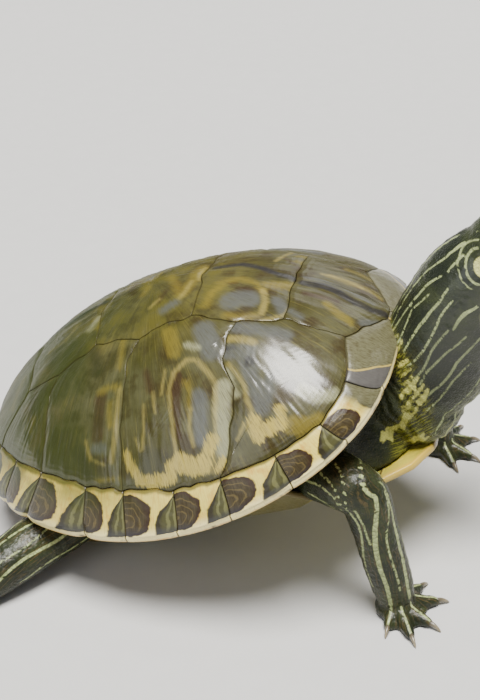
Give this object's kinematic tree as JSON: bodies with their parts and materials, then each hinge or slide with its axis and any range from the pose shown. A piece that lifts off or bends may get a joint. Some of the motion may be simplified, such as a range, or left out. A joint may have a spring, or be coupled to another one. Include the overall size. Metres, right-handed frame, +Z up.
{
  "type": "red-eared slider turtle",
  "caption": "Life-size still model of a young adult red-eared slider turtle, basking with its neck raised and its forelegs planted.",
  "frame": {"origin": "the middle of the bounding box, on the floor", "axes": "+X is the way the head points, +Y the turtle's left, +Z up"},
  "size_m": [0.2536, 0.1938, 0.1348],
  "materials": {
    "back_plates": "horny plates, olive brown with yellow, orange and dark markings, worn and faintly ridged",
    "rim_plates": "horny rim plates with dark ringed blotches at the seams and cream bars between",
    "belly_plates": "yellow horn with dark smudges",
    "skin": "dark green scaly skin with thin pale yellow stripes",
    "eyes": "wet, yellow-green iris with a dark bar"
  },
  "bodies": {
    "root": {"carapace_marginal_left_1": "rim_plates", "carapace_marginal_left_10": "rim_plates", "carapace_marginal_left_11": "rim_plates", "carapace_marginal_left_12": "rim_plates", "carapace_marginal_left_2": "rim_plates", "carapace_marginal_left_3": "rim_plates", "carapace_marginal_left_4": "rim_plates", "carapace_marginal_left_5": "rim_plates", "carapace_marginal_left_6": "rim_plates", "carapace_marginal_left_7": "rim_plates", "carapace_marginal_left_8": "rim_plates", "carapace_marginal_left_9": "rim_plates", "carapace_marginal_right_1": "rim_plates", "carapace_marginal_right_10": "rim_plates", "carapace_marginal_right_11": "rim_plates", "carapace_marginal_right_12": "rim_plates", "carapace_marginal_right_2": "rim_plates", "carapace_marginal_right_3": "rim_plates", "carapace_marginal_right_4": "rim_plates", "carapace_marginal_right_5": "rim_plates", "carapace_marginal_right_6": "rim_plates", "carapace_marginal_right_7": "rim_plates", "carapace_marginal_right_8": "rim_plates", "carapace_marginal_right_9": "rim_plates", "carapace_nuchal": "rim_plates", "carapace_pleural_left_1": "back_plates", "carapace_pleural_left_2": "back_plates", "carapace_pleural_left_3": "back_plates", "carapace_pleural_left_4": "back_plates", "carapace_pleural_right_1": "back_plates", "carapace_pleural_right_2": "back_plates", "carapace_pleural_right_3": "back_plates", "carapace_pleural_right_4": "back_plates", "carapace_vertebral_1": "back_plates", "carapace_vertebral_2": "back_plates", "carapace_vertebral_3": "back_plates", "carapace_vertebral_4": "back_plates", "carapace_vertebral_5": "back_plates", "eye_left": "eyes", "eye_right": "eyes", "foreleg_left": "skin", "foreleg_right": "skin", "head": "skin", "hindleg_left": "skin", "hindleg_right": "skin", "neck": "skin", "plastron_abdominal": "belly_plates", "plastron_anal": "belly_plates", "plastron_femoral": "belly_plates", "plastron_gular": "belly_plates", "plastron_humeral": "belly_plates", "plastron_pectoral": "belly_plates", "tail": "skin", "trunk": "skin"}
  },
  "joints": []
}
